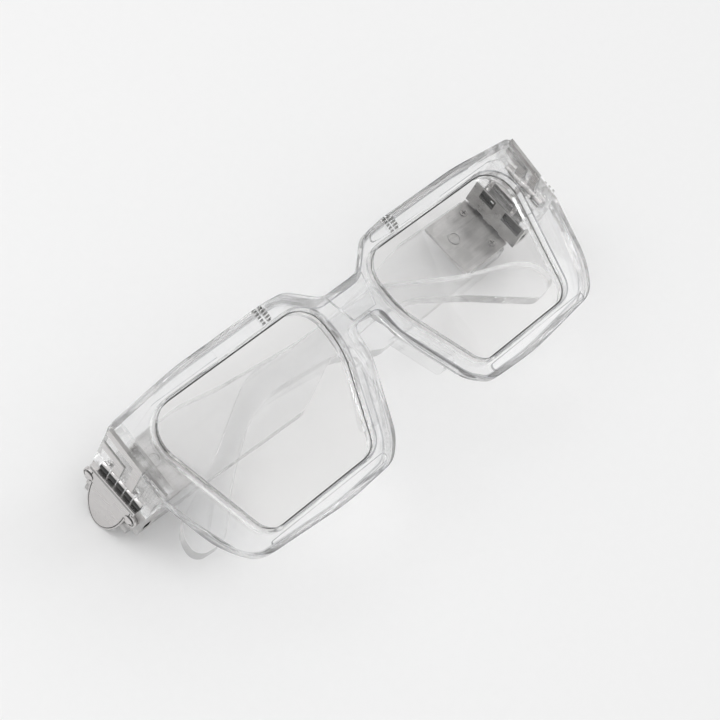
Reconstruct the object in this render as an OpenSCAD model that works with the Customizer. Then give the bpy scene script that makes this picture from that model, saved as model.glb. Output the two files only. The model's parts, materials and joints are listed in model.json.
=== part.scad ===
/* [Front] */
// Half width of the front, centre to the side of the end piece
front_half_w = 72; // [68:0.5:76]
// Height of the brow line over the frame's middle line
brow_y = 24.5; // [22:0.1:27]
// Drop of the rims' lowest edge under the middle line
chin_y = 25.3; // [23:0.1:28]
// Thickness of the rims, front to back
rim_t = 6; // [4.5:0.1:8]
// How far the rims' back edge is drawn in from their outline
back_inset = 1.6; // [0.6:0.1:2.4]
// Radius that the whole front is bowed to
bow_r = 1000; // [400:10:3000]
// How far the facet bars stand out of the rims
facet_raise = 0.7; // [0.3:0.05:1.2]
// Half width of the bridge's keystone panel at its top
keystone_top = 6.5; // [5:0.1:8]
// Half width of the keystone panel at its foot
keystone_foot = 4; // [2.5:0.1:5]
// Distance from the middle plane to the notch in the brow bar
notch_x = 23; // [18:0.5:30]
// Width of the notch
notch_w = 2.2; // [1.4:0.1:3]
// Width of the two slots that bound the notch
notch_slot_w = 0.45; // [0.3:0.05:0.6]
// Depth of those slots under the rims' face
notch_deep = 1.8; // [0.8:0.1:2.2]

/* [Lenses] */
// Distance from the middle plane to the lens opening's inner edge
eye_in_x = 9.6; // [8:0.1:13]
// Width of the rim at the side, from the opening's upper outer corner to the end piece
rim_side_w = 5.8; // [5.4:0.1:9]
// Height of the lens opening's upper edge
eye_top_y = 19.2; // [17:0.1:20.5]
// Drop of the lens opening's lower edge
eye_low_y = 20; // [17:0.1:21]
// How far the opening's lower corners lie inside its upper ones, at the nose and at the side
eye_taper = 10.3; // [6:0.1:12]
// Thickness of a lens
lens_t = 2; // [1.4:0.1:2.6]
// How deep a lens reaches into the groove of its rim
groove_d = 0.8; // [0.4:0.1:1.2]
// Clearance between a lens and the walls of its groove
lens_gap = 0.04; // [0.02:0.01:0.1]
// Thickness of a nose pad, from the rim's back
pad_t = 4.5; // [3:0.1:6]
// Length of a nose pad
pad_l = 15; // [11:0.5:18]
// Radius that a nose pad is hollowed to
pad_hollow_r = 13; // [12:0.5:16]

/* [End pieces] */
// Tilt of the hinge axis, which lets an open temple point down
pan_angle = 9; // [5:0.5:12]
// Distance from a hinge axis out to the side of the end piece
hinge_inset = 2; // [1.5:0.1:3]
// Height of the hinge over the frame's middle line
hinge_y = 8.6; // [6:0.1:11]
// Depth of the hinge axis behind the bridge's face
hinge_z = 31.5; // [28:0.5:35]
// Height of the end piece over the hinge's middle
lug_up = 8.6; // [7:0.1:10]
// Depth of the end piece under the hinge's middle
lug_down = 10.4; // [8:0.1:12]
// Thickness of the end piece, side to side
lug_t = 5.4; // [4:0.1:5.5]
// Distance from the hinge axis to the end piece's rear face
lug_rear = 14; // [12.5:0.1:15]
// Width of the chevron strips
strip_w = 2.6; // [1.6:0.1:3]
// Thickness of the chevron strips
strip_t = 1; // [0.6:0.1:1.4]
// How far the side plate stands off the end piece's side
plate_lift = 0.3; // [0.2:0.05:0.5]
// How far a chevron strip stands out of the end piece
strip_proud = 0.3; // [0.1:0.05:0.6]

/* [Side plates] */
// Reach of the tongue behind the hinge axis
tongue_reach = 6.7; // [5:0.1:9]
// Half width of the tongue
tongue_half_w = 6.1; // [5:0.1:6.6]
// Thickness of the side plate
side_plate_t = 1; // [0.6:0.1:1.4]
// Distance between the side plate's two screws
side_screw_pitch = 14.2; // [13:0.1:15.5]
// Radius of the side plate's screw heads
side_head_r = 1.35; // [1:0.05:1.7]
// Radius of the row of knuckles beside the plate
knuckle_row_r = 1.5; // [1.2:0.1:1.7]

/* [Hinges] */
// Radius of the hinge barrels
barrel_r = 2.1; // [1.8:0.1:2.2]
// Radius of the hinge pin
pin_r = 0.7; // [0.5:0.05:0.9]
// Radial clearance of the pin in the knuckles
pin_gap = 0.05; // [0.02:0.01:0.08]
// Number of knuckles on one hinge
knuckles = 5; // [3:2:7]
// Clearance between neighbouring knuckles
knuckle_gap = 0.15; // [0.08:0.01:0.3]
// Height of the stack of knuckles
barrel_h = 15; // [12:0.5:16]
// Thickness of the temple's hinge plate
plate_t = 1; // [0.7:0.1:1.3]
// Length of the temple's hinge plate
plate_l = 16; // [12:0.5:20]
// Height of the temple's hinge plate
plate_h = 16.8; // [14:0.2:18]
// Radius of the heads of the small screws
small_head_r = 1.1; // [0.8:0.05:1.4]
// Radius of the shanks of the small screws
small_shank_r = 0.6; // [0.4:0.05:0.8]
// How far a plate screw reaches into the temple
plate_screw_grip = 3; // [2:0.1:3.6]
// How far a block screw reaches into the end piece
block_screw_grip = 3.6; // [2:0.1:6]
// Depth of the two pockets in the hinge block's inner side
pocket_d = 0.6; // [0.3:0.05:0.7]

/* [Temples] */
// Length of a temple from its hinge axis to its tip
temple_l = 131.5; // [120:0.5:145]
// Thickness of a temple
temple_t = 4.2; // [3.4:0.1:4.6]
// Height of the temple's slim middle
temple_mid_h = 7.4; // [6:0.1:9]
// Drop of the temple's tip under the hinge's middle
tip_drop = 26.4; // [22:0.1:29]
// Angle that the right temple is folded by
fold_right = 88.7; // [86:0.5:90]
// Angle that the right temple is set up by, in its own plane
set_right = 1.2; // [-1:0.1:2]
// Angle that the left temple, the lower one, is folded by
fold_left = 97; // [95:0.5:97.5]
// Angle that the left temple is set up by, in its own plane
set_left = -0.5; // [-1:0.1:2]

/* [Hidden] */
$fn = 64;
left = -1;
right = 1;
eps = 0.01;
skin = 0.06;

// Colours
acetate = [0.93, 0.94, 0.94, 0.35];
glass = [0.9, 0.93, 0.94, 0.2];
silver = [0.78, 0.76, 0.75];
satin = [0.62, 0.61, 0.59];

// Corner lists hold [x, y, radius]; a list runs anticlockwise
function unit(v) = v / norm(v);
function turn(v) = [-v[1], v[0]];
function cross2(a, b) = a[0] * b[1] - a[1] * b[0];
function at(list, i) = list[(i + len(list)) % len(list)];
function xy(p) = [p[0], p[1]];

// The corner list moved out by d, with its radii grown to match
function grown(list, d) = [for (i = [0:len(list) - 1])
    let (a = unit(xy(at(list, i)) - xy(at(list, i - 1))), b = unit(xy(at(list, i + 1)) - xy(at(list, i))),
        na = -turn(a), nb = -turn(b), m = (na + nb) / (1 + na * nb),
        p = xy(list[i]) + d * m, convex = cross2(a, b) > 0)
    [p[0], p[1], max(0.05, list[i][2] + (convex ? d : -d))]];

// One corner turned into an arc
function arc(before, corner, after, r, steps) =
    let (u = unit(before - corner), v = unit(after - corner), half = acos(u * v) / 2,
        reach = min(r / tan(half), norm(before - corner) / 2.02, norm(after - corner) / 2.02),
        rr = reach * tan(half), mid = corner + unit(u + v) * rr / sin(half),
        p = corner + u * reach - mid, q = corner + v * reach - mid,
        way = cross2(p, q) > 0 ? 1 : -1, sweep = 180 - 2 * half)
    [for (k = [0:steps]) let (a = way * sweep * k / steps)
        mid + [p[0] * cos(a) - p[1] * sin(a), p[0] * sin(a) + p[1] * cos(a)]];

function smooth(list, steps = 8) = [for (i = [0:len(list) - 1])
    each arc(xy(at(list, i - 1)), xy(list[i]), xy(at(list, i + 1)), list[i][2], steps)];

// Places that the front and the end pieces share
hinge_x = front_half_w - hinge_inset;
eye_out_x = front_half_w - rim_side_w;

// The lens opening on the right side
eye = [[eye_in_x + eye_taper, -eye_low_y, 6], [eye_out_x - eye_taper, -eye_low_y, 6],
    [eye_out_x, eye_top_y, 8.5], [eye_in_x, eye_top_y, 9], [eye_in_x - 0.2, 4, 24]];

// Edges of the front's right half, from the nose arch round to the bridge's top
nose_x = eye_in_x - 5;
arch_y = 7;
bridge_top_y = 17.2;
half_edge = [[nose_x, arch_y, 2.4], [nose_x + 0.7, -1, 14], [eye_in_x + 4.4, -20.3, 24],
    [eye_in_x + 9.4, -chin_y + 0.7, 7], [eye_in_x + 25, -chin_y - 0.2, 90], [eye_out_x - 5, -chin_y + 2, 8.5],
    [front_half_w - 4.7, -15.5, 30], [front_half_w - 1.3, -2.4, 3], [front_half_w, 2.2, 3],
    [front_half_w, brow_y - 2.1, 2.6], [50, brow_y, 80], [notch_x - 1, brow_y, 30],
    [14.6, brow_y - 0.6, 7], [keystone_top + 0.3, bridge_top_y, 5]];
function mirrored(list) = [for (i = [len(list) - 1:-1:0]) [-list[i][0], list[i][1], list[i][2]]];
front_edge = concat(half_edge, mirrored(half_edge));

// The rims in layers, each [depth where it starts, depth where it ends, how far it is drawn in]
rim_layers = [[0, rim_t * 0.52, 0], [rim_t * 0.5, rim_t * 0.79, back_inset * 0.4], [rim_t * 0.77, rim_t, back_inset]];
function rim_outline(layer) = smooth(grown(front_edge, -layer[2]));

// Facet bars on the right half
brow_bar = [[notch_x + notch_w / 2, 20.3, 0.3], [eye_out_x - 6, 20.3, 4], [front_half_w - 2.6, 17.4, 1],
    [front_half_w - 2.6, brow_y - 3.3, 1.6], [50, brow_y - 0.9, 60], [notch_x + notch_w / 2, brow_y - 0.9, 0.3]];
brow_leaf = [[eye_in_x + 4.2, 20.8, 1.2], [notch_x - notch_w / 2, 20.2, 0.3],
    [notch_x - notch_w / 2, brow_y - 0.9, 0.3], [15.6, brow_y - 1.5, 2.5]];
chin_bar = [[eye_in_x + 10.4, -chin_y + 2, 1], [eye_in_x + 25, -chin_y + 1.2, 60], [eye_out_x - 8.4, -chin_y + 2.8, 1.2],
    [eye_out_x - 8.4, -eye_low_y - 1.2, 1], [eye_in_x + 10.4, -eye_low_y - 1.2, 1]];
keystone = [[-keystone_foot, arch_y + 1, 0.3], [keystone_foot, arch_y + 1, 0.3],
    [keystone_top, bridge_top_y - 0.5, 0.3], [-keystone_top, bridge_top_y - 0.5, 0.3]];

// Hinge block, side plate and knuckles, measured from the hinge axis
block_front = lug_rear;
block_rear = 4.2;
block_in = -2.6;
side_x = front_half_w - hinge_x;
plate_in = side_x + plate_lift;
block_out = plate_in - 0.02;
block_screw_x = block_in / 2 + 0.1;
bar_z = [lug_rear - 1.4, lug_rear + 0.2];
screw_z = 8.6;
ear_r = 2.1;
tongue_mid_z = 8;
row_z = bar_z[1] + knuckle_row_r + 0.1;
row_h = 13.8;
strip_end = row_z + knuckle_row_r + 0.05;
strip_lean = tan(pan_angle);
strip_out_z = hinge_z - 2.6;
knuckle_l = barrel_h / knuckles;
plate_start = 2.5;
plate_face = -temple_t / 2 - plate_t;
screw_reach = 2.2;
small_head_t = 0.35;
plate_screw_s = 5.6;
plate_screw_y = 5.7;
ring_s = 13.6;
ring_y = 1.6;
ring_r = 1.9;
slot_w = 0.45;
head_t = 0.6;
lens_mid_d = rim_t * 0.42;

module lay() translate([0, origin_y, origin_z]) rotate([lie_tilt, 0, 0]) children();

module on_side(side) {
    if (side == right) children();
    else mirror([1, 0, 0]) children();
}

// Side frame: X out of the side, Y up the hinge axis, Z towards the front
module at_hinge(side) lay() on_side(side)
    translate([hinge_x, hinge_y, -hinge_z]) rotate([-pan_angle, 0, 0]) children();

// Temple frame: the temple points along -Z when it is open
module at_temple(side) at_hinge(side) rotate([0, side == right ? fold_right : fold_left, 0]) children();

// A plate that lies on the bowed face, from depth d1 to depth d2 behind it
bow_step = front_half_w * 2 / 9;
front_h = brow_y + chin_y;
bow_sag = 2 - bow_at(front_half_w * 1.1);
function bow_line(d) = [for (x = [-5.5 * bow_step:bow_step:5.5 * bow_step]) [x, sqrt(bow_r * bow_r - x * x) - bow_r - d]];
function backwards(list) = [for (i = [len(list) - 1:-1:0]) list[i]];

module bowed(d1, d2) intersection() {
    translate([0, 0, -d2 - bow_sag]) linear_extrude(d2 - d1 + 2 * bow_sag) children();
    translate([0, front_h, 0]) rotate([90, 0, 0]) linear_extrude(2 * front_h)
        polygon(concat(bow_line(d1), backwards(bow_line(d2))));
}

module eye_shape(grow) polygon(smooth(grown(eye, grow)));

// Prism along X over a [z, y] outline of the side frame
module side_prism(points, x1, x2) translate([x1, 0, 0]) rotate([0, 90, 0]) linear_extrude(x2 - x1)
    polygon([for (p = points) [-p[0], p[1]]]);

function chevron(z, y) = let (top = lug_up - 0.3)
    [[z + strip_lean * (top - y), top], [z, y], [strip_end, y], [strip_end, y + strip_w],
        [z - strip_w + strip_lean * strip_w, y + strip_w], [z - strip_w + strip_lean * (top - y), top]];
outer_chevron = chevron(strip_out_z, -4.1);
inner_chevron = chevron(strip_out_z - 2.1 * strip_w, -4.1 + 1.75 * strip_w);

module strip(points) side_prism(points, side_x - strip_t + strip_proud, side_x + strip_proud);

module row_bar(grow) translate([side_x - 0.5, -row_h / 2 - 1 - grow, row_z]) rotate([-90, 0, 0])
    cylinder(h = row_h + 2 * grow, r = knuckle_row_r + grow);

// Front: both rims, the bridge and the end pieces
module end_piece() intersection() {
    translate([side_x - lug_t, -lug_down, lug_rear])
        cube([lug_t + skin, lug_up + lug_down, hinge_z - lug_rear + 2]);
    rotate([pan_angle, 0, 0]) translate([-hinge_x, -hinge_y, hinge_z])
        bowed(facet_raise, hinge_z + lug_rear) translate([0, -front_h]) square([front_half_w + 2, 2 * front_h]);
}

module clear_ridges() for (i = [0:2])
    translate([side_x - 0.2, -6.4 - 1.5 * i, lug_rear + 5 + i])
        cube([0.55, 0.7, 9.5 - i]);

module lug_cuts() {
    strip(outer_chevron);
    strip(inner_chevron);
    row_bar(0.03);
    block_screw_holes();
}

module block_screw_holes() for (y = [-4.6, 4.6])
    translate([block_screw_x, y, block_rear + 1]) cylinder(h = block_front + block_screw_grip - block_rear, r = small_shank_r);

module notch_slots() for (x = [notch_x - notch_w / 2, notch_x + notch_w / 2 - notch_slot_w])
    bowed(-facet_raise - 1, notch_deep) translate([x, eye_top_y + 0.9]) square([notch_slot_w, brow_y - eye_top_y]);

module rims() {
    for (layer = rim_layers) bowed(layer[0], layer[1]) polygon(rim_outline(layer));
    bowed(-facet_raise, 1) polygon(smooth(keystone));
    for (s = [left, right]) on_side(s) {
        bowed(-facet_raise, 1) polygon(smooth(brow_bar));
        bowed(-facet_raise, 1) polygon(smooth(brow_leaf));
        bowed(-facet_raise, 1) polygon(smooth(chin_bar));
    }
}

module eye_cuts() for (s = [left, right]) on_side(s) {
    bowed(-2, rim_t + 2) eye_shape(0);
    bowed(lens_mid_d - lens_gap, lens_mid_d + lens_t + lens_gap) eye_shape(groove_d + lens_gap);
}

module front_frame() color(acetate) difference() {
    union() {
        lay() rims();
        for (s = [left, right]) at_hinge(s) {
            end_piece();
            clear_ridges();
        }
    }
    lay() eye_cuts();
    lay() for (s = [left, right]) on_side(s) notch_slots();
    for (s = [left, right]) at_hinge(s) lug_cuts();
}

module lens(side) color(glass) lay() on_side(side)
    bowed(lens_mid_d, lens_mid_d + lens_t) eye_shape(groove_d);

// Nose pad: a slim block glued behind the rim, hollowed by the nose
module nose_pad(side) color(acetate) lay() on_side(side) intersection() {
    bowed(rim_t, rim_t + pad_t) polygon(smooth(
        [[nose_x + back_inset + 0.2, -1, 1], [nose_x + 2.6 + pad_l * 0.38, -pad_l - 1, 2], [nose_x + 6 + pad_l * 0.38, -pad_l + 0.4, 2],
        [nose_x + 4.1, -0.6, 1.5]]));
    translate([nose_x + pad_hollow_r, -pad_l / 2, -rim_t - 1]) sphere(r = pad_hollow_r);
}

module outer_strip(side) color(silver) at_hinge(side) strip(outer_chevron);
module inner_strip(side) color(silver) at_hinge(side) strip(inner_chevron);

module knuckle_row(side) color(silver) at_hinge(side) difference() {
    row_bar(0);
    for (i = [1:4]) translate([side_x, -row_h / 2 - 1 + row_h * i / 5 - slot_w / 2, row_z - 4])
        cube([4, slot_w, 8]);
}

// Side plate: bar, two ears and the tongue that covers the open hinge
module tongue_shape() {
    polygon([for (a = [0:6:180]) [tongue_mid_z - (tongue_reach + tongue_mid_z) * sin(a), tongue_half_w * cos(a)]]);
    translate([tongue_mid_z - eps, -tongue_half_w]) square([bar_z[1] - tongue_mid_z, 2 * tongue_half_w]);
    for (y = [-1, 1]) translate([screw_z, y * side_screw_pitch / 2]) circle(r = ear_r);
    translate([screw_z, -side_screw_pitch / 2]) square([bar_z[1] - screw_z, side_screw_pitch]);
}

module side_plate(side) color(silver) at_hinge(side) difference() {
    union() {
        translate([plate_in, 0, 0]) rotate([0, -90, 0]) mirror([0, 0, 1]) linear_extrude(side_plate_t) tongue_shape();
        translate([plate_in, -side_screw_pitch / 2 - 0.8, bar_z[0]])
            cube([side_plate_t + 0.5, side_screw_pitch + 1.6, bar_z[1] - bar_z[0]]);
    }
    side_screw_holes(0.03);
}

module side_screw_holes(gap) for (y = [-1, 1])
    translate([block_out - screw_reach, y * side_screw_pitch / 2, screw_z]) rotate([0, 90, 0])
        cylinder(h = screw_reach + 2, r = small_shank_r + gap);

module side_screws(side) color(silver) at_hinge(side) for (y = [-1, 1])
    translate([0, y * side_screw_pitch / 2, screw_z]) rotate([0, 90, 0]) {
        translate([0, 0, block_out - screw_reach]) cylinder(h = screw_reach + side_plate_t + 0.2, r = small_shank_r);
        translate([0, 0, plate_in + side_plate_t]) intersection() {
            cylinder(h = head_t + 1, r = side_head_r);
            translate([0, 0, head_t - 2.2]) sphere(r = 2.2);
        }
    }

// Hinge block: the metal body behind the end piece, with the fixed knuckles
module knuckle(i, gap) translate([0, -barrel_h / 2 + knuckle_l * i + gap / 2, 0]) rotate([-90, 0, 0])
    cylinder(h = knuckle_l - gap, r = barrel_r);

module pin_bore() rotate([90, 0, 0]) cylinder(h = barrel_h + 8, r = pin_r + pin_gap, center = true);

module hinge_block(side) color(satin) at_hinge(side) difference() {
    union() {
        translate([block_in, -lug_down, block_rear])
            cube([block_out - block_in, lug_up + lug_down - 0.2, block_front - block_rear - 0.02]);
        for (i = [0:2:knuckles - 1]) {
            knuckle(i, knuckle_gap);
            translate([-1.1, -barrel_h / 2 + knuckle_l * i + knuckle_gap / 2, 0])
                cube([2.2, knuckle_l - knuckle_gap, block_rear + eps]);
        }
    }
    pin_bore();
    side_screw_holes(0);
    block_screw_holes();
    for (y = [-4.6, 4.6]) translate([block_screw_x, y, block_rear - 1]) cylinder(h = 2.4, r = small_head_r + 0.05);
    for (span = [[-9.6, -3.1], [0.5, 5.6]]) translate([block_in - 1, span[0], block_front - 4.2])
        cube([pocket_d + 1, span[1] - span[0], 2]);
    translate([-1, -lug_down - 1, 6]) cube([2, 2.6, 2.6]);
}

module block_screws(side) color(silver) at_hinge(side) for (y = [-4.6, 4.6]) translate([block_screw_x, y, block_rear]) {
    translate([0, 0, 0.9]) cylinder(h = 0.5, r = small_head_r);
    translate([0, 0, 1.4 - eps]) cylinder(h = block_front + block_screw_grip - block_rear - 1.4, r = small_shank_r);
}

module hinge_pin(side) color(silver) at_hinge(side) difference() {
    union() {
        translate([0, -barrel_h / 2, 0]) rotate([-90, 0, 0]) cylinder(h = barrel_h + 0.1, r = pin_r);
        translate([0, barrel_h / 2 + 0.06, 0]) rotate([-90, 0, 0]) cylinder(h = 0.6, r = small_head_r);
    }
    translate([-2, barrel_h / 2 + 0.4, -0.15]) cube([4, 1, 0.3]);
}

// Temple, drawn in its own plane as [distance from the hinge, height]
bend = temple_l - 43;
mid_top = temple_mid_h / 2 - 0.1;
mid_foot = 0.1 - temple_mid_h / 2;
temple_edge = [[plate_start + 0.2, -plate_h / 2 - 0.8, 1], [53, -lug_down - 1, 6], [67, mid_foot - 1.6, 16],
    [bend - 2, mid_foot, 20], [bend + 8, mid_foot - 2.2, 16], [bend + 20, -tip_drop + 12.4, 60],
    [temple_l - 7.8, -tip_drop, 4.5], [temple_l, -tip_drop + 0.6, 4.6], [temple_l - 0.8, -tip_drop + 7.4, 7],
    [temple_l - 5.5, -tip_drop + 11.6, 14], [bend + 23, -9, 60], [bend + 1.2, mid_top, 13],
    [64, mid_top, 40], [40, lug_up - 2, 40], [28, lug_up + 0.5, 20], [plate_start + 0.2, lug_up + 0.2, 1]];

// The pose on the table: the tongues' ends and the right temple's tip touch it
function side_to_front(y, z) = [hinge_y + y * cos(pan_angle) + z * sin(pan_angle),
    -hinge_z - y * sin(pan_angle) + z * cos(pan_angle)];
temple_line = smooth(temple_edge);
function set_up(p, a) = [p[0] * cos(a) - p[1] * sin(a), p[1] * cos(a) + p[0] * sin(a)];
function folded(p) = let (q = set_up(p, set_right))
    side_to_front(q[1], -q[0] * cos(fold_right) - temple_t / 2 * sin(fold_right));
tongue_end = side_to_front(0, -tongue_reach);
tip_end = folded([temple_l - 6, -tip_drop]);
lie_tilt = atan((tip_end[1] - tongue_end[1]) / (tongue_end[0] - tip_end[0]));
function row_y(p) = p[0] * cos(lie_tilt) - p[1] * sin(lie_tilt);
function row_z(p) = p[0] * sin(lie_tilt) + p[1] * cos(lie_tilt);
function bow_at(x) = sqrt(bow_r * bow_r - x * x) - bow_r;
high_y = max([for (layer = rim_layers) for (p = rim_outline(layer)) row_y([p[1], bow_at(p[0]) - layer[1]])]);
low_y = min([for (p = rim_outline(rim_layers[0])) row_y([p[1], bow_at(p[0])])]);
temple_high_y = max([for (p = temple_line) row_y(folded(p))]);
origin_y = -(max(high_y, temple_high_y) + low_y) / 2;
origin_z = -min(row_z(tongue_end) - 0.02, min([for (p = temple_line) row_z(folded(p))]));

module temple(side) color(acetate) at_temple(side) difference() {
    rotate([side == right ? set_right : set_left, 0, 0]) translate([-temple_t / 2, 0, 0]) rotate([0, 90, 0])
        linear_extrude(temple_t) polygon(temple_line);
    plate_screw_holes();
}

module plate_screw_holes() for (y = [-1, 1])
    translate([plate_face - 1, y * plate_screw_y, -plate_screw_s]) rotate([0, 90, 0])
        cylinder(h = plate_t + 1 + plate_screw_grip, r = small_shank_r);

// Plate on the temple's inner face, with the moving knuckles and a plain raised ring
module hinge_plate(side) color(satin) at_temple(side) difference() {
    union() {
        translate([plate_face, -plate_h / 2, -plate_start - plate_l]) cube([plate_t, plate_h, plate_l + 0.4]);
        for (i = [1:2:knuckles - 1]) {
            knuckle(i, knuckle_gap);
            translate([plate_face, -barrel_h / 2 + knuckle_l * i + knuckle_gap / 2, -plate_start])
                cube([plate_t, knuckle_l - knuckle_gap, plate_start]);
            translate([plate_face, -barrel_h / 2 + knuckle_l * i + knuckle_gap / 2, -1])
                cube([-plate_face, knuckle_l - knuckle_gap, 2]);
        }
        translate([plate_face - 0.25, ring_y, -ring_s]) rotate([0, 90, 0]) difference() {
            cylinder(h = 0.3, r = ring_r);
            translate([0, 0, -1]) cylinder(h = 1.25, r = ring_r - 0.45);
        }
    }
    pin_bore();
    plate_screw_holes();
}

module plate_screws(side) color(silver) at_temple(side) for (y = [-1, 1])
    translate([plate_face, y * plate_screw_y, -plate_screw_s]) rotate([0, 90, 0]) difference() {
        union() {
            translate([0, 0, -small_head_t]) cylinder(h = small_head_t, r = small_head_r);
            translate([0, 0, -eps]) cylinder(h = plate_t + plate_screw_grip, r = small_shank_r);
        }
        for (a = [0, 90]) rotate([0, 0, a]) translate([-0.7, -0.13, -1]) cube([1.4, 0.26, 0.85]);
    }

front_frame();
lens(left);  // lens_left
lens(right);  // lens_right
nose_pad(left);  // nose_pad_left
nose_pad(right);  // nose_pad_right
outer_strip(left);  // outer_strip_left
outer_strip(right);  // outer_strip_right
inner_strip(left);  // inner_strip_left
inner_strip(right);  // inner_strip_right
knuckle_row(left);  // knuckle_row_left
knuckle_row(right);  // knuckle_row_right
side_plate(left);  // side_plate_left
side_plate(right);  // side_plate_right
side_screws(left);  // side_screws_left
side_screws(right);  // side_screws_right
hinge_block(left);  // hinge_block_left
hinge_block(right);  // hinge_block_right
block_screws(left);  // block_screws_left
block_screws(right);  // block_screws_right
hinge_pin(left);  // hinge_pin_left
hinge_pin(right);  // hinge_pin_right
temple(left);  // temple_left
temple(right);  // temple_right
hinge_plate(left);  // hinge_plate_left
hinge_plate(right);  // hinge_plate_right
plate_screws(left);  // plate_screws_left
plate_screws(right);  // plate_screws_right
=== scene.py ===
"""Visual model of folded rectangular eyeglasses in clear acetate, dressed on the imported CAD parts.

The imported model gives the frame: every piece built here is worked up from the solid that it stands
for, so that it moves with the same body and keeps the same real size. The scene is in metres. The
classes of the glasses hold their sizes in millimetres, in the frame that their docstrings name.
"""

from __future__ import annotations

import json
import logging
import math
from dataclasses import dataclass
from enum import Enum, auto
from typing import Callable, Iterable, Sequence

import bmesh
import bpy
from mathutils import Matrix, Quaternion, Vector

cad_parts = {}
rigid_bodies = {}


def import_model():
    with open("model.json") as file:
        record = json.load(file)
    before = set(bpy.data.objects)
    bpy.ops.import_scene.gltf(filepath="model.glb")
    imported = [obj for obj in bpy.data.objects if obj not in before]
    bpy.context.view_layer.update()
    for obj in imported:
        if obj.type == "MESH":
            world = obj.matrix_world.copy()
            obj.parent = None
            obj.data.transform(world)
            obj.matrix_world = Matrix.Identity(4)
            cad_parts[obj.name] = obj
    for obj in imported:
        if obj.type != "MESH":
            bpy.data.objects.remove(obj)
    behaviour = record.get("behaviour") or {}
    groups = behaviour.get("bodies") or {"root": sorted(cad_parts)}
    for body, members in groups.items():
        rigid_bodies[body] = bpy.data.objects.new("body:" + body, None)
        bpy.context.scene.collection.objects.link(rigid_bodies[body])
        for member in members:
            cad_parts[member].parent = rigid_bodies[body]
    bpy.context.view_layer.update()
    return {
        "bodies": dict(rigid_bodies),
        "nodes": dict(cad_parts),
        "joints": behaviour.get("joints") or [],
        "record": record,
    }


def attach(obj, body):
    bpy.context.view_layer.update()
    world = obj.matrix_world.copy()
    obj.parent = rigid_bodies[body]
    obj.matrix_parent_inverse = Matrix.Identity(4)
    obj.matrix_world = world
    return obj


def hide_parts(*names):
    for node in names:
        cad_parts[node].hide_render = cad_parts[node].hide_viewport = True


Colour = Sequence[float]
Span = tuple[float, float]
EdgeTest = Callable[[bmesh.types.BMEdge], bool]
FaceTest = Callable[[Vector, Vector], bool]

LOG = logging.getLogger("eyeglasses")
MM = 0.001
ANY = (-math.inf, math.inf)


class Finish(Enum):
    """Surface finishes; the first four carry the name of the record's material slot that they dress."""

    ACETATE = "clear_acetate"
    LENS = "clear_lens"
    STEEL = "polished_steel"
    SATIN = "satin_nickel"
    RECESS = "shaded recess"
    CONTACT = "bright contact"
    SHADE = "darkened steel"
    MOTTLED = "mottled plating"
    THIN = "thin acetate"
    EDGE = "acetate edge"
    PAD = "pad acetate"
    GLEAM = "gleaming edge"

    @property
    def slot(self) -> str:
        """The record's slot; the further finishes belong to the polished metal or to the acetate."""
        if self in (Finish.RECESS, Finish.CONTACT, Finish.SHADE, Finish.MOTTLED):
            return Finish.STEEL.value
        if self in (Finish.THIN, Finish.EDGE, Finish.PAD, Finish.GLEAM):
            return Finish.ACETATE.value
        return self.value


class Side(Enum):
    """Side of the glasses, with the sign of its X."""

    LEFT = -1
    RIGHT = 1

    @property
    def word(self) -> str:
        """The word that ends the names of this side's pieces."""
        return self.name.lower()


class Measured(Enum):
    """The frame that a piece's painted zones are measured in."""

    HINGE = auto()
    TEMPLE = auto()


@dataclass(frozen=True)
class Pose:
    """How the glasses lie: the turn and shift from the front's own frame to the row frame.

    HINGE is the right hinge's place in the front's frame, PAN the temples' tilt towards the chin, and
    FOLD how far each temple is folded in the photograph.
    """

    matrix: Matrix

    HINGE = Vector((70.0, 8.6, -31.5)) * MM
    PAN = math.radians(9.0)
    FOLD = {Side.RIGHT: math.radians(88.7), Side.LEFT: math.radians(97.0)}

    @classmethod
    def from_joints(cls, joints: Sequence[dict]) -> "Pose":
        """Reads the tilt from the right hinge.

        Args:
            joints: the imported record's joints.

        Returns:
            The pose of the front on the table.
        """
        hinge = next(j for j in joints if j["name"] == "right_hinge")
        axis = -Vector(hinge["axis"])
        tilt = math.atan2(axis.z, axis.y) + cls.PAN
        turn = Matrix.Rotation(tilt, 4, "X")
        shift = Vector(hinge["pos_m"]) - turn @ cls.HINGE
        return cls(Matrix.Translation(shift) @ turn)

    def side_matrix(self, side: Side) -> Matrix:
        """Frame of a hinge: X out of the side, Y up the hinge axis, Z towards the lenses."""
        mirror = Matrix.Scale(side.value, 4, (1, 0, 0))
        return self.matrix @ mirror @ Matrix.Translation(self.HINGE) @ Matrix.Rotation(-self.PAN, 4, "X")

    def temple_matrix(self, side: Side) -> Matrix:
        """Frame of a folded temple, which points along -Z in it."""
        return self.side_matrix(side) @ Matrix.Rotation(self.FOLD[side], 4, "Y")


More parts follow.
